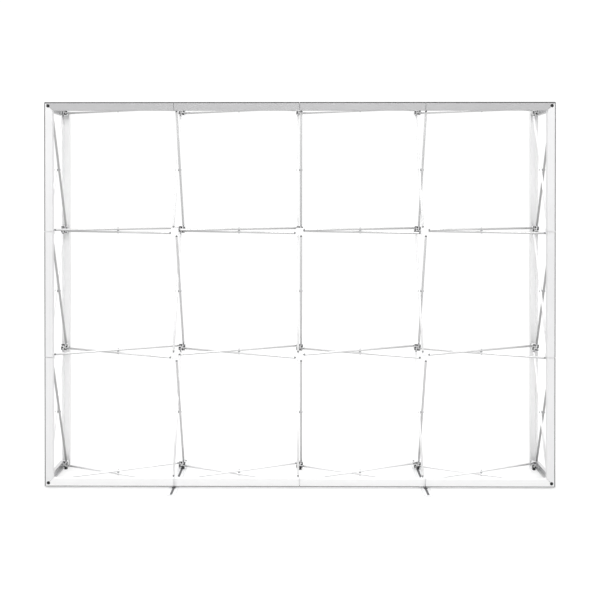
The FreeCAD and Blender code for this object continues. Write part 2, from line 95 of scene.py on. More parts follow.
floor_paint = bpy.data.materials.new("floor_paint")
floor_paint.use_nodes = True
paint = floor_paint.node_tree
seen_floor = paint.nodes["Principled BSDF"]
seen_floor.inputs["Base Color"].default_value = FLOOR_PAINT
seen_floor.inputs["Roughness"].default_value = FLOOR_ROUGHNESS
seen_floor.inputs["Emission Color"].default_value = WHITE
seen_floor.inputs["Emission Strength"].default_value = FLOOR_GLOW
bounce = add_node(paint, "ShaderNodeBsdfDiffuse", Color=FLOOR_BOUNCE)
looked_at = add_node(paint, "ShaderNodeLightPath")
floor_choice = add_node(paint, "ShaderNodeMixShader", Fac=looked_at.outputs["Is Camera Ray"],
                        i1=bounce.outputs["BSDF"], i2=seen_floor.outputs["BSDF"])
paint.links.new(floor_choice.outputs["Shader"], paint.nodes["Material Output"].inputs["Surface"])
floor_mesh.materials.append(floor_paint)


# Surround: pale paper all round, darker at eye height than overhead, as a real studio is, so that
# the flat faces of the bars read as metal. The camera sees an even white backdrop instead.
BACKDROP_LIGHT, HORIZON_LIGHT, OVERHEAD_LIGHT = 1.05, 0.84, 1.30
LOW_SLOPE, HIGH_SLOPE = 0.18, 0.60
world = bpy.data.worlds.new("studio_surround")
world.use_nodes = True
bpy.context.scene.world = world
surround = world.node_tree
direction = add_node(surround, "ShaderNodeTexCoord")
slope = add_node(surround, "ShaderNodeSeparateXYZ", Vector=direction.outputs["Generated"])
brightness = add_node(surround, "ShaderNodeMapRange", {"interpolation_type": "SMOOTHSTEP"},
                      Value=slope.outputs["Z"], From_Min=LOW_SLOPE, From_Max=HIGH_SLOPE,
                      To_Min=HORIZON_LIGHT, To_Max=OVERHEAD_LIGHT)
room = surround.nodes["Background"]
room.inputs["Color"].default_value = WHITE
surround.links.new(brightness.outputs["Result"], room.inputs["Strength"])
backdrop = add_node(surround, "ShaderNodeBackground", Color=WHITE, Strength=BACKDROP_LIGHT)
seen_straight = add_node(surround, "ShaderNodeLightPath")
surround_choice = add_node(surround, "ShaderNodeMixShader",
                           Fac=seen_straight.outputs["Is Camera Ray"],
                           i1=room.outputs["Background"], i2=backdrop.outputs["Background"])
surround_end = surround.nodes["World Output"]
surround.links.new(surround_choice.outputs["Shader"], surround_end.inputs["Surface"])


# Lights: four large rectangular soft boxes, high in front, at each side, and high behind the wall.
# Each has its place, its width and height, and its watts.
AIM = Vector((0, 0, 1.1))
SOFT_BOXES = {
    "front_top_light": ((0, -4.6, 5.4), (5.0, 2.4), 150),
    "front_left_light": ((-5.6, -4.4, 2.2), (2.4, 3.2), 45),
    "front_right_light": ((5.6, -4.4, 2.2), (2.4, 3.2), 35),
    "rear_top_light": ((0, 5.0, 5.2), (5.0, 2.4), 60),
}
for light_name, (light_place, light_size, watts) in SOFT_BOXES.items():
    lamp = bpy.data.lights.new(light_name, "AREA")
    lamp.shape = "RECTANGLE"
    lamp.size, lamp.size_y = light_size
    lamp.energy = watts
    light = bpy.data.objects.new(light_name, lamp)
    light.location = light_place
    light.rotation_euler = (AIM - Vector(light_place)).to_track_quat("-Z", "Y").to_euler()
    bpy.context.scene.collection.objects.link(light)


# Camera: in front of the middle of the wall at about eye height, turned a little to the left and
# down from square, with the picture shifted down as a view camera does.
PHOTO_SIDE, FOCAL_PIXELS = 600, 834.9
AXIS_COLUMN, AXIS_ROW = 295.0, 199.3
CAMERA_PLACE = (0, -5.058, 1.711)
TURNED_LEFT, TURNED_DOWN = 0.0055, 0.0048
SENSOR_WIDTH, FAR_CLIP = 36.0, 200.0
QUARTER = math.radians(90)
camera_data = bpy.data.cameras.new("photo_camera")
camera_data.sensor_width = SENSOR_WIDTH
camera_data.lens = FOCAL_PIXELS * SENSOR_WIDTH / PHOTO_SIDE
camera_data.shift_x = (PHOTO_SIDE / 2 - AXIS_COLUMN) / PHOTO_SIDE
camera_data.shift_y = (AXIS_ROW - PHOTO_SIDE / 2) / PHOTO_SIDE
camera_data.clip_end = FAR_CLIP
photo_camera = bpy.data.objects.new("photo_camera", camera_data)
photo_camera.location = CAMERA_PLACE
photo_camera.rotation_euler = (QUARTER - TURNED_DOWN, 0, TURNED_LEFT)
bpy.context.scene.collection.objects.link(photo_camera)
bpy.context.scene.camera = photo_camera
bpy.context.scene.view_settings.view_transform = "Standard"


# Hubs: square nylon mouldings at every crossing of the grid, front and rear. Four slots, set off
# centre like the sails of a windmill, take the tongues of the tubes, and angled pockets between the
# slots keep the walls of the injection moulding even.
HUB_WIDTH, HUB_DEPTH, HUB_WEB, HUB_CORNER, HUB_ROUNDING = 0.044, 0.022, 0.004, 0.006, 0.0006
PIN_CIRCLE, ARM_OFFSET, SLOT_REACH, SLOT_WIDTH = 0.015, 0.009, 0.007, 0.007
PIN_RADIUS, PIN_FAR_END, PIN_SIDES = 0.0016, 0.0025, 20
POCKET_LEFT, POCKET_STEP, POCKET_RIGHT = -0.0025, 0.0066, 0.0176
POCKET_LOW, POCKET_SHELF, POCKET_HIGH = 0.0062, 0.0137, 0.0200
CORE_RADIUS, CORE_SIDES = 0.0042, 24
DISH_RIM_RADIUS, DISH_FLOOR_RADIUS, DISH_DEPTH, DISH_SIDES = 0.0085, 0.0079, 0.0008, 40
CUTTER_OVERRUN = 0.002
COLUMNS, ROWS = range(5), range(4)
hubs_low, hubs_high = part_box("front_edge_hubs")
PITCH_X = (hubs_high.x - hubs_low.x - HUB_WIDTH) / COLUMNS[-1]
PITCH_Z = (hubs_high.z - hubs_low.z - HUB_WIDTH) / ROWS[-1]
HUB_PLANE = -(hubs_low.y + hubs_high.y) / 2
FRONT, REAR = -1, 1
FACES = (("front", FRONT), ("rear", REAR))


def hub_centre(column, row, side):
    """Centre of a hub in the plane of its pins."""
    x = hubs_low.x + HUB_WIDTH / 2 + column * PITCH_X
    z = hubs_low.z + HUB_WIDTH / 2 + row * PITCH_Z
    return Vector((x, side * HUB_PLANE, z))


def hub_place(column, row, side):
    """The front hubs lie as modelled; the rear ones are the same moulding turned half round."""
    half_turn = Matrix.Rotation(math.pi if side == REAR else 0, 4, "Z")
    return Matrix.Translation(hub_centre(column, row, side)) @ half_turn


def on_edge(column, row):
    return column in (COLUMNS[0], COLUMNS[-1]) or row in (ROWS[0], ROWS[-1])


def rectangle(left, right, bottom, top):
    return [(left, bottom), (right, bottom), (right, top), (left, top)]


def pocket_outline(gap=0.0):
    """Outline of the angled pocket between two slots, drawn in by a gap all round."""
    left, step, right = POCKET_LEFT + gap, POCKET_STEP - gap, POCKET_RIGHT - gap
    low, shelf, high = POCKET_LOW + gap, POCKET_SHELF + gap, POCKET_HIGH - gap
    return [(left, low), (step, low), (step, shelf), (right, shelf), (right, high), (left, high)]


def prism(outline, near, far):
    """A solid from an outline of (x, z) points, from one distance along Y to another."""
    shape = bmesh.new()
    rings = [[shape.verts.new((x, y, z)) for x, z in outline] for y in (near, far)]
    count = len(outline)
    shape.faces.new(rings[0])
    shape.faces.new(reversed(rings[1]))
    for k in range(count):
        other = (k + 1) % count
        shape.faces.new((rings[0][other], rings[0][k], rings[1][k], rings[1][other]))
    bmesh.ops.recalc_face_normals(shape, faces=shape.faces)
    mesh = bpy.data.meshes.new("prism")
    shape.to_mesh(mesh)
    shape.free()
    return mesh


def turned(profile, sides=32):
    """A turned solid about Z from (radius, height) points; a radius of zero closes it."""
    shape = bmesh.new()
    rings = []
    for radius, height in profile:
        if radius == 0:
            rings.append([shape.verts.new((0, 0, height))])
            continue
        angles = [math.tau * k / sides for k in range(sides)]
        circle = [(radius * math.cos(angle), radius * math.sin(angle), height) for angle in angles]
        rings.append([shape.verts.new(point) for point in circle])
    for low, high in zip(rings, rings[1:]):
        for k in range(sides):
            other = (k + 1) % sides
            low_pair = low[k % len(low)], low[other % len(low)]
            high_pair = high[other % len(high)], high[k % len(high)]
            # At a closed end both points of a pair are the same, and the face is a triangle.
            face = shape.faces.new(list(dict.fromkeys([*low_pair, *high_pair])))
            face.smooth = True
    bmesh.ops.recalc_face_normals(shape, faces=shape.faces)
    mesh = bpy.data.meshes.new("turned")
    shape.to_mesh(mesh)
    shape.free()
    return mesh


def rod(radius, low, high, sides):
    """A plain round bar about Z."""
    return turned([(0, low), (radius, low), (radius, high), (0, high)], sides)


def joined(name, parts):
    """One mesh from several (mesh, place) parts; each part keeps its smooth faces."""
    shape = bmesh.new()
    for mesh, place in parts:
        first = len(shape.verts)
        shape.from_mesh(mesh)
        shape.verts.ensure_lookup_table()
        bmesh.ops.transform(shape, matrix=place, verts=shape.verts[first:])
    mesh = bpy.data.meshes.new(name)
    shape.to_mesh(mesh)
    shape.free()
    return mesh


ROUNDING_STEPS, SHARP_ANGLE = 2, math.radians(35)


def finished(mesh, cutters=(), rounding=0.0):
    """The mesh with cutters taken away and its sharp edges rounded."""
    work = mesh_object("work", mesh)
    tools = []
    if cutters:
        tool = mesh_object("cutters", joined("cutters", cutters))
        tools.append(tool)
        cut = work.modifiers.new("cut", "BOOLEAN")
        cut.operation, cut.solver, cut.object, cut.use_self = "DIFFERENCE", "EXACT", tool, True
    if rounding:
        soften = work.modifiers.new("soften", "BEVEL")
        soften.width, soften.segments = rounding, ROUNDING_STEPS
        soften.limit_method, soften.angle_limit = "ANGLE", SHARP_ANGLE
        soften.use_clamp_overlap = True
    bpy.context.view_layer.update()
    shaped = work.evaluated_get(bpy.context.evaluated_depsgraph_get())
    result = bpy.data.meshes.new_from_object(shaped)
    for thing in [work, *tools]:
        bpy.data.objects.remove(thing)
    return result


def gather(name, parts, material, body="lattice", replaced=()):
    """Make one piece from (mesh, place) parts, in one material, that rides on a body."""
    piece = mesh_object(name, joined(name, parts))
    piece.data.materials.append(material)
    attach(piece, body)
    if replaced:
        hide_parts(*replaced)


COLOUR, NUMBER, VECTOR = "NodeSocketColor", "NodeSocketFloat", "NodeSocketVector"
PLAIN_GREY = (0.8, 0.8, 0.8, 1)


def effect_group(name, inputs, outputs):
    """An empty shader node group with named sockets, and its first and last node."""
    group = bpy.data.node_groups.new(name, "ShaderNodeTree")
    for socket_name, kind, value in inputs:
        socket = group.interface.new_socket(socket_name, in_out="INPUT", socket_type=kind)
        socket.default_value = value
    for socket_name, kind in outputs:
        group.interface.new_socket(socket_name, in_out="OUTPUT", socket_type=kind)
    return group, group.nodes.new("NodeGroupInput"), group.nodes.new("NodeGroupOutput")


def calc(tree, operation, *numbers):
    """The result of a Math node on numbers or sockets."""
    inputs = {f"i{k}": number for k, number in enumerate(numbers)}
    return add_node(tree, "ShaderNodeMath", {"operation": operation}, **inputs).outputs[0]


def mixed(tree, share, first, second, blend="MIX"):
    """A colour mixed from two; 6 and 7 are the colour inputs of a Mix node, and 2 its output."""
    settings = {"data_type": "RGBA", "blend_type": blend}
    return add_node(tree, "ShaderNodeMix", settings, i0=share, i6=first, i7=second).outputs[2]


def put_out(group, last_node, **results):
    """Link the results of an effect group to its named outputs."""
    for output, result in results.items():
        group.links.new(result, last_node.inputs[output])


def with_effect(name, group, metallic=0.0, **values):
    """A material whose colour, roughness and normal come from an effect group."""
    material = bpy.data.materials.new(name)
    material.use_nodes = True
    tree = material.node_tree
    shader = tree.nodes["Principled BSDF"]
    shader.inputs["Metallic"].default_value = metallic
    effect = add_node(tree, "ShaderNodeGroup", {"node_tree": group}, **values)
    tree.links.new(effect.outputs["Colour"], shader.inputs["Base Color"])
    tree.links.new(effect.outputs["Roughness"], shader.inputs["Roughness"])
    tree.links.new(effect.outputs["Normal"], shader.inputs["Normal"])
    return material


# The skin that a spark-eroded mould leaves on plastic: a fine grain and faint, darker flow marks.
FLOW_SCALE, FLOW_SHADE, FLOW_ROUGHNESS, GRAIN_STRENGTH = 38.0, (0.3, 0.3, 0.3, 1), 0.12, 0.6
moulded_skin, skin_in, skin_out = effect_group(
    "moulded_skin",
    [("Colour", COLOUR, PLAIN_GREY), ("Grain", NUMBER, 0.0006), ("Depth", NUMBER, 0.00004),
     ("Roughness", NUMBER, 0.45), ("Flow", NUMBER, 0.05)],
    [("Colour", COLOUR), ("Roughness", NUMBER), ("Normal", VECTOR)])
on_skin = add_node(moulded_skin, "ShaderNodeTexCoord").outputs["Object"]
per_grain = calc(moulded_skin, "DIVIDE", 1.0, skin_in.outputs["Grain"])
grain = add_node(moulded_skin, "ShaderNodeTexNoise", Vector=on_skin, Scale=per_grain, Detail=3.0)
flow = add_node(moulded_skin, "ShaderNodeTexNoise", Vector=on_skin, Scale=FLOW_SCALE, Detail=2.0)
flow_share = calc(moulded_skin, "MULTIPLY", flow.outputs["Fac"], skin_in.outputs["Flow"])
grain_bump = add_node(moulded_skin, "ShaderNodeBump", Strength=GRAIN_STRENGTH,
                      Distance=skin_in.outputs["Depth"], Height=grain.outputs["Fac"])
put_out(
    moulded_skin, skin_out,
    Colour=mixed(moulded_skin, flow_share, skin_in.outputs["Colour"], FLOW_SHADE, "MULTIPLY"),
    Roughness=calc(moulded_skin, "MULTIPLY_ADD", flow.outputs["Fac"], FLOW_ROUGHNESS,
                   skin_in.outputs["Roughness"]),
    Normal=grain_bump.outputs["Normal"])

edge = HUB_WIDTH / 2
web_top = HUB_WEB - HUB_DEPTH / 2
past_inner, past_outer = HUB_DEPTH / 2 + CUTTER_OVERRUN, -HUB_DEPTH / 2 - CUTTER_OVERRUN
hub_square = [
    (HUB_CORNER - edge, -edge), (edge - HUB_CORNER, -edge),
    (edge, HUB_CORNER - edge), (edge, edge - HUB_CORNER),
    (edge - HUB_CORNER, edge), (HUB_CORNER - edge, edge),
    (-edge, edge - HUB_CORNER), (-edge, HUB_CORNER - edge),
]
slot_outline = rectangle(PIN_CIRCLE - SLOT_REACH, edge + CUTTER_OVERRUN,
                         ARM_OFFSET - SLOT_WIDTH / 2, ARM_OFFSET + SLOT_WIDTH / 2)
slot_cutter = prism(slot_outline, web_top, past_inner)
pocket_cutter = prism(pocket_outline(), web_top, past_inner)
pin_cutter = rod(PIN_RADIUS, PIN_FAR_END, edge + CUTTER_OVERRUN, PIN_SIDES)
core_cutter = rod(CORE_RADIUS, web_top, past_inner, CORE_SIDES)
dish_floor = -HUB_DEPTH / 2 + DISH_DEPTH
dish_cutter = turned([
    (0, past_outer), (DISH_RIM_RADIUS, past_outer), (DISH_RIM_RADIUS, -HUB_DEPTH / 2),
    (DISH_FLOOR_RADIUS, dish_floor), (0, dish_floor),
], DISH_SIDES)
along_y = Matrix.Rotation(-QUARTER, 4, "X")
to_pin = Matrix.Translation((PIN_CIRCLE, 0, 0))
quarter_turns = [Matrix.Rotation(k * QUARTER, 4, "Y") for k in range(4)]
hub_cutters = [(core_cutter, along_y), (dish_cutter, along_y)]
for turn in quarter_turns:
    hub_cutters += [(slot_cutter, turn), (pocket_cutter, turn), (pin_cutter, turn @ to_pin)]
hub_moulding = finished(prism(hub_square, -HUB_DEPTH / 2, HUB_DEPTH / 2), hub_cutters, HUB_ROUNDING)
hub_nylon = with_effect("hub_nylon", moulded_skin, Colour=(0.80, 0.80, 0.805, 1), Roughness=0.38,
                        Flow=0.08)
for face_name, side in FACES:
    for group_name, wanted in (("edge", True), ("inner", False)):
        hubs = [(hub_moulding, hub_place(c, r, side))
                for c in COLUMNS for r in ROWS if on_edge(c, r) == wanted]
        gather(f"{face_name}_{group_name}_hub_mouldings", hubs, hub_nylon,
               replaced=[f"{face_name}_{group_name}_hubs"])


# Tongue pins: short bright steel pins with chamfered ends. Each is pressed in from the side of a
# hub, right through the tongue of one tube, which turns on it as the wall folds.
PIN_NEAR_END, PIN_CHAMFER = 0.0140, 0.0003
pin_length = PIN_NEAR_END - PIN_FAR_END
hub_pin = turned([
    (0, 0), (PIN_RADIUS - PIN_CHAMFER, 0), (PIN_RADIUS, PIN_CHAMFER),
    (PIN_RADIUS, pin_length - PIN_CHAMFER), (PIN_RADIUS - PIN_CHAMFER, pin_length), (0, pin_length),
], PIN_SIDES)
pin_steel = with_effect("pin_steel", moulded_skin, metallic=1.0, Colour=(0.50, 0.50, 0.51, 1),
                        Grain=0.0003, Depth=0.00001, Roughness=0.22, Flow=0.3)


def pinned_slots(column, row, side):
    """Whether each slot of a hub holds a tube: to its own right, down, to its own left and up."""
    right, left = column < COLUMNS[-1], column > 0
    if side == REAR:
        right, left = left, right
    return [right, row > 0, left, row < ROWS[-1]]


at_pin = Matrix.Translation((PIN_CIRCLE, 0, PIN_FAR_END))
for face_name, side in FACES:
    pins = [(hub_pin, hub_place(c, r, side) @ turn @ at_pin)
            for c in COLUMNS for r in ROWS
            for turn, pinned in zip(quarter_turns, pinned_slots(c, r, side)) if pinned]
    gather(f"{face_name}_hub_pins", pins, pin_steel)


# Pin plates and locks: black nylon mouldings. A plate lies on the floor of each hub, under its
# slots, and four locks pushed into the angled pockets keep the pins from working out. Their black
# is painted shade: it darkens the floors of the slots and pockets as the shade in these deep
# recesses would.
PLATE_INSET, PLATE_THICKNESS, PLATE_SUNK = 0.0015, 0.0008, 0.0001
LOCK_GAP, LOCK_RECESS = 0.0001, 0.0040
SMALL_ROUNDING = 0.0002
plate_share = 1 - PLATE_INSET / edge
plate_square = [(x * plate_share, z * plate_share) for x, z in hub_square]
pin_shade_plate = finished(prism(plate_square, web_top - PLATE_SUNK, web_top + PLATE_THICKNESS),
                     rounding=SMALL_ROUNDING)
pin_shade_lock = finished(prism(pocket_outline(LOCK_GAP), web_top, HUB_DEPTH / 2 - LOCK_RECESS),
                    rounding=SMALL_ROUNDING)
# Near black: the corner posts' own black, and painted shade on the pin plates and locks.
black_nylon_and_pocket_shade = with_effect("black_nylon_and_pocket_shade", moulded_skin, Colour=(0.007, 0.007, 0.0075, 1),
                          Roughness=0.50, Flow=0.2)
for face_name, side in FACES:
    places = [hub_place(c, r, side) for c in COLUMNS for r in ROWS]
    gather(f"{face_name}_hub_pin_shade_plates", [(pin_shade_plate, place) for place in places], black_nylon_and_pocket_shade)
    locks = [(pin_shade_lock, place @ turn) for place in places for turn in quarter_turns]
    gather(f"{face_name}_hub_pin_shade_locks", locks, black_nylon_and_pocket_shade)


# Tubes: thin round aluminium tubes, drawn and satin anodised, all of one length. Each runs from a
# front hub to the next rear hub; two of them cross at their middles on a rivet.
TUBE_RADIUS, TUBE_WALL, TUBE_START, END_ROUNDING = 0.0065, 0.001, 0.016, 0.0003
EAST, UP = Vector((1, 0, 0)), Vector((0, 0, 1))
# Painted light and shade: all tubes are of one stock, but each row and each way of tube gets its
# own grey. The greys are palest in the bottom row and on the rising tubes, which face the light,
# and darkest on the falling tubes at the two ends.
ROW_PAINTED_SHADING = (0.99, 0.73, 0.64, 0.68)
FALLING_PAINTED_SHADE = (0.54, 0.71, 0.71, 0.71, 0.50)
RISING_PAINTED_LIGHT = 0.92


def tube_painted_shading(label):
    """Painted light and shade of a node's tubes: palest in the bottom row, darkest where they fall
    at the ends.
    """
    kind, number, way = label.split("_")
    if kind == "row":
        return ROW_PAINTED_SHADING[int(number) - 1]
    return FALLING_PAINTED_SHADE[int(number) - 1] if way == "falling" else RISING_PAINTED_LIGHT


def crossed_arms(label):
    """The (pin, far pin, side) of each tube of a node, from the front hub to the rear hub."""
    kind, number, way = label.split("_")
    n = int(number) - 1
    arms = []
    if kind == "row":
        step, offset = (EAST, ARM_OFFSET) if way == "upper" else (-EAST, -ARM_OFFSET)
        for c in COLUMNS[:-1]:
            near, far = (c, c + 1) if way == "upper" else (c + 1, c)
            arms.append((hub_centre(near, n, FRONT) + step * PIN_CIRCLE + UP * offset,
                         hub_centre(far, n, REAR) - step * PIN_CIRCLE + UP * offset, UP))
        return arms
    step, offset = (-UP, ARM_OFFSET) if way == "falling" else (UP, -ARM_OFFSET)
    for r in ROWS[:-1]:
        near, far = (r + 1, r) if way == "falling" else (r, r + 1)
        arms.append((hub_centre(n, near, FRONT) + step * PIN_CIRCLE + EAST * offset,
                     hub_centre(n, far, REAR) - step * PIN_CIRCLE + EAST * offset, EAST))
    return arms


def arm_place(pin, target, across_arm):
    """Place at a pin, with local Z towards the far pin and local X across the pair of tubes."""
    along = (target - pin).normalized()
    turn = Matrix((across_arm, along.cross(across_arm), along)).transposed().to_4x4()
    return Matrix.Translation(pin) @ turn


def vector_calc(tree, operation, first, second):
    """The result of a Vector Math node; a dot product gives a number, and a scale takes one."""
    values = {"i0": first, "Scale" if operation == "SCALE" else "i1": second}
    node = add_node(tree, "ShaderNodeVectorMath", {"operation": operation}, **values)
    return node.outputs["Value" if operation == "DOT_PRODUCT" else "Vector"]


# The fine lines that drawing leaves along a metal section, with slow changes of tone across them
# and of roughness where it is handled.
WIDE_SHARE, LINE_SHADE, LINE_STRENGTH = 0.22, (0.35, 0.35, 0.36, 1), 0.5
HANDLING_SCALE, HANDLING_ROUGHNESS = 7.0, 0.16
drawn_lines, lines_in, lines_out = effect_group(
    "drawn_lines",
    [("Colour", COLOUR, PLAIN_GREY), ("Along", VECTOR, (0, 0, 1)), ("Line", NUMBER, 0.0008),
     ("Depth", NUMBER, 0.00001), ("Roughness", NUMBER, 0.3), ("Contrast", NUMBER, 0.12)],
    [("Colour", COLOUR), ("Roughness", NUMBER), ("Normal", VECTOR)])
on_metal = add_node(drawn_lines, "ShaderNodeTexCoord").outputs["Object"]
distance = vector_calc(drawn_lines, "DOT_PRODUCT", on_metal, lines_in.outputs["Along"])
run_along = vector_calc(drawn_lines, "SCALE", lines_in.outputs["Along"], distance)
across = vector_calc(drawn_lines, "SUBTRACT", on_metal, run_along)
per_line = calc(drawn_lines, "DIVIDE", 1.0, lines_in.outputs["Line"])
across_lines = vector_calc(drawn_lines, "SCALE", across, per_line)
stretched = vector_calc(drawn_lines, "ADD", across_lines, run_along)
widened = vector_calc(drawn_lines, "SCALE", stretched, WIDE_SHARE)
fine_lines = add_node(drawn_lines, "ShaderNodeTexNoise", Vector=stretched, Scale=1.0, Detail=2.0)
wide_lines = add_node(drawn_lines, "ShaderNodeTexNoise", Vector=widened, Scale=1.0, Detail=1.0)
handling = add_node(drawn_lines, "ShaderNodeTexNoise", Vector=on_metal, Scale=HANDLING_SCALE,
                    Detail=4.0, Roughness=0.6)
line_tone = calc(drawn_lines, "ADD", fine_lines.outputs["Fac"], wide_lines.outputs["Fac"])
tone_share = calc(drawn_lines, "MULTIPLY", line_tone, lines_in.outputs["Contrast"])
line_bump = add_node(drawn_lines, "ShaderNodeBump", Strength=LINE_STRENGTH,
                     Distance=lines_in.outputs["Depth"], Height=fine_lines.outputs["Fac"])
put_out(
    drawn_lines, lines_out,
    Colour=mixed(drawn_lines, tone_share, lines_in.outputs["Colour"], LINE_SHADE, "MULTIPLY"),
    Roughness=calc(drawn_lines, "MULTIPLY_ADD", handling.outputs["Fac"], HANDLING_ROUGHNESS,
                   lines_in.outputs["Roughness"]),
    Normal=line_bump.outputs["Normal"])

first_pin, first_target, _ = crossed_arms("row_1_upper")[0]
tube_end = (first_target - first_pin).length - TUBE_START
bore = TUBE_RADIUS - TUBE_WALL
round_tube = turned([
    (bore, TUBE_START + END_ROUNDING), (bore + END_ROUNDING, TUBE_START),
    (TUBE_RADIUS - END_ROUNDING, TUBE_START), (TUBE_RADIUS, TUBE_START + END_ROUNDING),
    (TUBE_RADIUS, tube_end - END_ROUNDING), (TUBE_RADIUS - END_ROUNDING, tube_end),
    (bore + END_ROUNDING, tube_end), (bore, tube_end - END_ROUNDING),
    (bore, TUBE_START + END_ROUNDING),
])
tube_labels = [f"row_{r + 1}_{way}" for r in ROWS for way in ("upper", "lower")]
tube_labels += [f"column_{c + 1}_{way}" for c in COLUMNS for way in ("falling", "rising")]
all_arms = []
for label in tube_labels:
    arms = crossed_arms(label)
    all_arms += arms
    pin, target, _ = arms[0]
    # The grey of each node's tubes is painted light and shade, set by row and by way.
    painted_grey = tube_painted_shading(label)
    shaded_tube_metal = with_effect(f"anodised_{label}_tubes", drawn_lines, metallic=1.0,
                             Colour=(painted_grey, painted_grey, painted_grey, 1), Along=(target - pin).normalized(),
                             Roughness=0.24, Contrast=0.10)
    tubes = [(round_tube, arm_place(*arm)) for arm in arms]
    gather(f"{label}_round_tubes", tubes, shaded_tube_metal, replaced=[f"{label}_tubes"])


# End plugs: grey nylon mouldings, pushed into each end of a tube up to a collar. The flat tongue
# has a round nose and an eye, and turns on its pin in the hub.
TONGUE_THICKNESS, TONGUE_WIDTH, TONGUE_OVERLAP, TONGUE_ROUNDING = 0.0064, 0.0084, 0.001, 0.0005
EYE_CLEARANCE, EYE_SIDES, NOSE_STEPS = 0.0001, 16, 10
COLLAR_START, COLLAR_CHAMFER, SPIGOT_RADIUS, SPIGOT_END = 0.0130, 0.0008, 0.0054, 0.022
nose = TONGUE_WIDTH / 2
nose_angles = [math.pi + math.pi * k / NOSE_STEPS for k in range(NOSE_STEPS + 1)]
tongue_outline = [(nose * math.cos(angle), nose * math.sin(angle)) for angle in nose_angles]
tongue_outline += [(nose, COLLAR_START + TONGUE_OVERLAP), (-nose, COLLAR_START + TONGUE_OVERLAP)]
tongue_eye = rod(PIN_RADIUS + EYE_CLEARANCE, -nose, nose, EYE_SIDES)
tongue = finished(prism(tongue_outline, -TONGUE_THICKNESS / 2, TONGUE_THICKNESS / 2),
                  [(tongue_eye, along_y)], TONGUE_ROUNDING)
collar = turned([
    (0, COLLAR_START), (TUBE_RADIUS - COLLAR_CHAMFER, COLLAR_START),
    (TUBE_RADIUS, COLLAR_START + COLLAR_CHAMFER), (TUBE_RADIUS, TUBE_START),
    (SPIGOT_RADIUS, TUBE_START), (SPIGOT_RADIUS, SPIGOT_END), (0, SPIGOT_END),
])
end_plug = joined("plug", [(tongue, Matrix.Rotation(QUARTER, 4, "Z")), (collar, Matrix())])
plug_nylon = with_effect("plug_nylon", moulded_skin, Colour=(0.22, 0.222, 0.226, 1), Roughness=0.42,
                         Flow=0.12)
front_plugs = [(end_plug, arm_place(pin, target, side)) for pin, target, side in all_arms]
rear_plugs = [(end_plug, arm_place(target, pin, side)) for pin, target, side in all_arms]
for face_name, plugs in (("front", front_plugs), ("rear", rear_plugs)):
    gather(f"{face_name}_plug_mouldings", plugs, plug_nylon,
           replaced=[f"{face_name}_end_plugs"])


# Pivots: a round grey nylon spacer between the two tubes of each crossing, and a rivet of the same
# nylon through all of it, with a domed head over each tube.
SPACER_RADIUS, SPACER_BEVEL, SPACER_SADDLE = 0.0066, 0.0008, 0.0012
RIVET_RADIUS, RIVET_HEAD, HEAD_HEIGHT, HEAD_SUNK = 0.0018, 0.0054, 0.0026, 0.0012
DOME_STEPS, RIVET_SIDES = 6, 24
half_gap, outer_side = ARM_OFFSET - TUBE_RADIUS, ARM_OFFSET + TUBE_RADIUS
spacer = turned([
    (0, -half_gap), (SPACER_RADIUS - SPACER_BEVEL, -half_gap - SPACER_SADDLE),
    (SPACER_RADIUS, -half_gap), (SPACER_RADIUS, half_gap),
    (SPACER_RADIUS - SPACER_BEVEL, half_gap + SPACER_SADDLE), (0, half_gap),
])
dome = [
    (RIVET_HEAD * math.cos(QUARTER * k / DOME_STEPS),
     outer_side + HEAD_HEIGHT * math.sin(QUARTER * k / DOME_STEPS))
    for k in range(DOME_STEPS)
] + [(0, outer_side + HEAD_HEIGHT)]
lower_dome = [(radius, -height) for radius, height in reversed(dome)]
head_seat = outer_side - HEAD_SUNK
shank = [(RIVET_HEAD, -head_seat), (RIVET_RADIUS, -head_seat),
         (RIVET_RADIUS, head_seat), (RIVET_HEAD, head_seat)]
rivet = turned(lower_dome + shank + dome, RIVET_SIDES)
crossings = []
for label in tube_labels:
    if label.endswith(("upper", "falling")):
        for pin, target, side in crossed_arms(label):
            middle = (pin + target) / 2 - side * ARM_OFFSET
            turn = side.to_track_quat("Z", "Y").to_matrix().to_4x4()
            crossings.append(Matrix.Translation(middle) @ turn)
pivot_nylon = with_effect("pivot_nylon", moulded_skin, Colour=(0.42, 0.425, 0.43, 1),
                          Roughness=0.42, Flow=0.12)
gather("round_pivot_spacers", [(spacer, crossing) for crossing in crossings], pivot_nylon,
       replaced=["pivot_spacers"])
gather("pivot_rivets", [(rivet, crossing) for crossing in crossings], pivot_nylon)


# Channel bars: aluminium extrusions, satin anodised, with the groove for the print's silicone edge
# along the outer side. They keep their CAD shape, with the edges broken as the die leaves them.
BAR_ROUNDING = 0.0004
WELD_DISTANCE, FLAT_ANGLE, CAD_SHARP_ANGLE = 0.00001, math.radians(0.5), math.radians(25)
GROOVE_NEAR, GROOVE_FAR, GROOVE_START, GROOVE_END = 0.0018, 0.0058, 0.0005, 0.0141
# Painted shade of the groove and lip, and the dull roughness of the groove.
GROOVE_PAINTED_SHADE, GROOVE_ROUGHNESS, LIP_NEAR = (0.02, 0.02, 0.02, 1), 0.95, 0.0001
BAR_LINE = 0.0016
LEVEL, INWARD, UPRIGHT = (1, 0, 0), (0, 1, 0), (0, 0, 1)
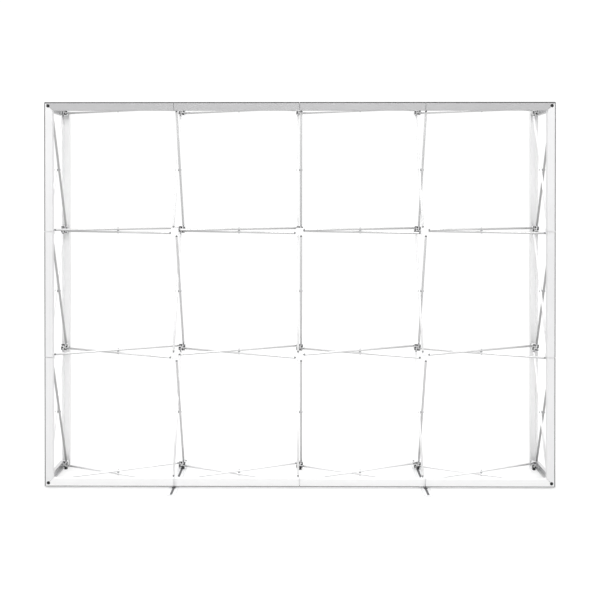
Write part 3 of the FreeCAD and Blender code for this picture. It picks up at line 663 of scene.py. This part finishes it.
# Painted light and shade: the bars are all one extrusion, but each group is painted its own grey
# for the light that it catches and reflects. The top bars are darkest, then the side bars, and the
# bottom and rear bars are palest.
TOP_PAINTED_SHADE, BOTTOM_PAINTED_LIGHT = (0.50, 0.50, 0.505, 1), (0.95, 0.95, 0.95, 1)
SIDE_PAINTED_SHADE = (0.66, 0.66, 0.665, 1)
UPRIGHT_PAINTED_LIGHT, REAR_PAINTED_LIGHT = (0.84, 0.84, 0.845, 1), (0.98, 0.98, 0.98, 1)
bars_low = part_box("front_bottom_bar_1")[0]
face_y = -bars_low.y
mid_height, half_height = (bars_low.z + cad_high.z) / 2, (cad_high.z - bars_low.z) / 2


def softened(node, rounding, material):
    """Keep a CAD node, round its sharp edges and give it a material."""
    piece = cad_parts[node]
    weld = piece.modifiers.new("weld", "WELD")
    weld.merge_threshold = WELD_DISTANCE
    flat = piece.modifiers.new("flat", "DECIMATE")
    flat.decimate_type, flat.angle_limit = "DISSOLVE", FLAT_ANGLE
    soften = piece.modifiers.new("soften", "BEVEL")
    soften.width, soften.segments = rounding, ROUNDING_STEPS
    soften.limit_method, soften.angle_limit = "ANGLE", CAD_SHARP_ANGLE
    soften.use_clamp_overlap = True
    for material_slot in piece.material_slots:
        material_slot.material = material


def between(tree, number, low, high):
    """One where a number lies between two limits, zero elsewhere."""
    return calc(tree, "COMPARE", number, (low + high) / 2, (high - low) / 2)


# The groove is deep and narrow, so the die leaves it dull, and the shade in it is painted on as a
# near-black colour. It is found by its distance in from the outer edge of the bars and back from
# the face of the wall. Where a bar has a Lip share, the thin lip outside the groove gets painted
# shade too.
painted_groove_shade, groove_in, groove_out = effect_group(
    "painted_groove_shade",
    [("Colour", COLOUR, PLAIN_GREY), ("Across", VECTOR, UPRIGHT), ("Middle", NUMBER, 0.0),
     ("Reach", NUMBER, 1.0), ("Roughness", NUMBER, 0.3), ("Lip", NUMBER, 0.0)],
    [("Colour", COLOUR), ("Roughness", NUMBER)])
on_bar = add_node(painted_groove_shade, "ShaderNodeTexCoord").outputs["Object"]
place_across = vector_calc(painted_groove_shade, "DOT_PRODUCT", on_bar, groove_in.outputs["Across"])
past_middle = calc(painted_groove_shade, "SUBTRACT", place_across, groove_in.outputs["Middle"])
from_middle = calc(painted_groove_shade, "ABSOLUTE", past_middle)
from_edge = calc(painted_groove_shade, "SUBTRACT", groove_in.outputs["Reach"], from_middle)
bar_place = add_node(painted_groove_shade, "ShaderNodeSeparateXYZ", Vector=on_bar)
from_wall_middle = calc(painted_groove_shade, "ABSOLUTE", bar_place.outputs["Y"])
near_edge = between(painted_groove_shade, from_edge, GROOVE_NEAR, GROOVE_FAR)
behind_face = between(painted_groove_shade, from_wall_middle, face_y - GROOVE_END, face_y - GROOVE_START)
in_groove = calc(painted_groove_shade, "MULTIPLY", near_edge, behind_face)
on_lip = between(painted_groove_shade, from_edge, LIP_NEAR, GROOVE_NEAR)
lip_shade_share = calc(painted_groove_shade, "MULTIPLY", on_lip, groove_in.outputs["Lip"])
dark = calc(painted_groove_shade, "MAXIMUM", in_groove, lip_shade_share)
dull = add_node(painted_groove_shade, "ShaderNodeMix", {"data_type": "FLOAT"}, i0=dark,
                i2=groove_in.outputs["Roughness"], i3=GROOVE_ROUGHNESS)
put_out(painted_groove_shade, groove_out, Roughness=dull.outputs[0],
        Colour=mixed(painted_groove_shade, dark, groove_in.outputs["Colour"], GROOVE_PAINTED_SHADE))


def bar_finish(name, colour, along, across=None, middle=0.0, reach=1.0, lip=0.0):
    """Satin anodised bar metal, its grey painted light and shade; a grooved bar gets the dull
    groove with its painted shade as well.
    """
    metal = with_effect(f"anodised_bar_{name}", drawn_lines, metallic=0.6, Colour=colour,
                        Along=along, Line=BAR_LINE, Roughness=0.24, Contrast=0.06)
    if across:
        tree = metal.node_tree
        shader = tree.nodes["Principled BSDF"]
        lines = next(node for node in tree.nodes if node.type == "GROUP")
        groove = add_node(tree, "ShaderNodeGroup", {"node_tree": painted_groove_shade},
                          Colour=lines.outputs["Colour"], Roughness=lines.outputs["Roughness"],
                          Across=across, Middle=middle, Reach=reach, Lip=lip)
        tree.links.new(groove.outputs["Colour"], shader.inputs["Base Color"])
        tree.links.new(groove.outputs["Roughness"], shader.inputs["Roughness"])
    return metal


shaded_bar_metal = {
    "top": bar_finish("top", TOP_PAINTED_SHADE, LEVEL, UPRIGHT, mid_height, half_height, lip=0.7),
    "bottom": bar_finish("bottom", BOTTOM_PAINTED_LIGHT, LEVEL, UPRIGHT, mid_height, half_height),
    "upright": bar_finish("upright", UPRIGHT_PAINTED_LIGHT, UPRIGHT, LEVEL, 0.0, cad_high.x, lip=0.35),
    "rear": bar_finish("rear", REAR_PAINTED_LIGHT, UPRIGHT, LEVEL, 0.0, cad_high.x),
    "side": bar_finish("side", SIDE_PAINTED_SHADE, INWARD),
}
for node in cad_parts:
    if node.endswith("_side_bar"):
        softened(node, BAR_ROUNDING, shaded_bar_metal["side"])
    elif "_top_bar_" in node or "_bottom_bar_" in node:
        softened(node, BAR_ROUNDING, shaded_bar_metal["top" if "_top_" in node else "bottom"])
    elif "_left_bar_" in node or "_right_bar_" in node:
        softened(node, BAR_ROUNDING, shaded_bar_metal["rear" if node.startswith("rear") else "upright"])


# Hinge lugs and catches: grey nylon blocks screwed to the outer side of the hubs. A bar turns on
# its lug and snaps over the catch of the next hub.
LUG_ROUNDING = 0.0006
lug_nylon = with_effect("lug_nylon", moulded_skin, Colour=(0.60, 0.605, 0.61, 1), Roughness=0.42,
                        Flow=0.12)
for node in ("bar_hinge_lugs", "side_bar_hinge_lugs", "bar_catches", "side_bar_catches"):
    softened(node, LUG_ROUNDING, lug_nylon)


# Corner posts: black nylon studs on the four front corner hubs, which the mitred bar ends snap
# round. The end that shows has a small dish.
POST_RADIUS, POST_CHAMFER, POST_SIDES = 0.0095, 0.0008, 48
POST_DISH_RADIUS, POST_DISH_DEPTH = 0.0052, 0.0012
posts_low, posts_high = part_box("corner_posts")
post_length = posts_high.y - posts_low.y
post = turned([
    (0, POST_DISH_DEPTH), (POST_DISH_RADIUS - POST_DISH_DEPTH / 2, POST_DISH_DEPTH),
    (POST_DISH_RADIUS, 0), (POST_RADIUS - POST_CHAMFER, 0), (POST_RADIUS, POST_CHAMFER),
    (POST_RADIUS, post_length), (0, post_length),
], POST_SIDES)
posts = []
for column in (COLUMNS[0], COLUMNS[-1]):
    for row in (ROWS[0], ROWS[-1]):
        centre = hub_centre(column, row, FRONT)
        centre.y = posts_low.y
        posts.append((post, Matrix.Translation(centre) @ along_y))
gather("round_corner_posts", posts, black_nylon_and_pocket_shade, replaced=["corner_posts"])


# Rubber feet: black rubber blocks under the bottom hubs, front and rear. Each is one moulding with
# a tab that stands up the inner side of its hub, and is bonded to it.
FOOT_ROUNDING = 0.0008
# Black rubber of the feet; the same black paints the shade in the gap under the front bar.
foot_rubber_and_gap_shade = with_effect("foot_rubber_and_gap_shade", moulded_skin, Colour=(0.022, 0.022, 0.024, 1),
                          Grain=0.0009, Depth=0.00008, Roughness=0.62, Flow=0.25)
for node in ("hub_feet", "corner_hub_feet"):
    softened(node, FOOT_ROUNDING, foot_rubber_and_gap_shade)


# Stabilisers: flat steel plates under the frame, powder coated. A flanged rubber strip is bonded
# along the top. A black rubber block just under the front bar is painted shade: it darkens the gap
# between the bar and the plate, where shade falls.
PLATE_ROUNDING, STRIP_ROUNDING, FLANGE_ROUNDING, SHADE_BLOCK_ROUNDING = 0.0008, 0.0012, 0.0004, 0.0010
STRIP_TIP, STRIP_OUTER, STRIP_INNER = 0.308, 0.1625, 0.1335
FLANGE_WIDTH, FLANGE_HEIGHT, SUNK = 0.013, 0.0012, 0.0002
SHADE_BLOCK_WIDTH, SHADE_BLOCK_FRONT, SHADE_BLOCK_BACK, SHADE_BLOCK_TOP = 0.020, -0.208, -0.186, 0.0077
strip_lengths = ((-STRIP_TIP, -STRIP_OUTER), (-STRIP_INNER, STRIP_INNER), (STRIP_OUTER, STRIP_TIP))
powder_coat = with_effect("powder_coat", moulded_skin, Colour=(0.72, 0.725, 0.73, 1), Grain=0.0018,
                          Depth=0.00006, Roughness=0.34, Flow=0.06)
strip_rubber = with_effect("strip_rubber", moulded_skin, Colour=(0.10, 0.10, 0.105, 1),
                           Grain=0.0009, Depth=0.00008, Roughness=0.6, Flow=0.25)
for edge_name, x in (("left", -PITCH_X), ("right", PITCH_X)):
    body = f"{edge_name}_stabiliser"
    softened(f"{body}_plate", PLATE_ROUNDING, powder_coat)
    softened(f"{body}_strip", STRIP_ROUNDING, strip_rubber)
    plate_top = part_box(f"{body}_plate")[1].z
    flange_outline = rectangle(x - FLANGE_WIDTH / 2, x + FLANGE_WIDTH / 2, plate_top - SUNK,
                               plate_top + FLANGE_HEIGHT)
    flanges = [(finished(prism(flange_outline, *ends), rounding=FLANGE_ROUNDING), Matrix())
               for ends in strip_lengths]
    gather(f"{edge_name}_strip_flanges", flanges, strip_rubber, body)
    shade_block_outline = rectangle(x - SHADE_BLOCK_WIDTH / 2, x + SHADE_BLOCK_WIDTH / 2, plate_top - SUNK, SHADE_BLOCK_TOP)
    shade_block = finished(prism(shade_block_outline, SHADE_BLOCK_FRONT, SHADE_BLOCK_BACK), rounding=SHADE_BLOCK_ROUNDING)
    gather(f"{edge_name}_stabiliser_shade_block", [(shade_block, Matrix())], foot_rubber_and_gap_shade, body)
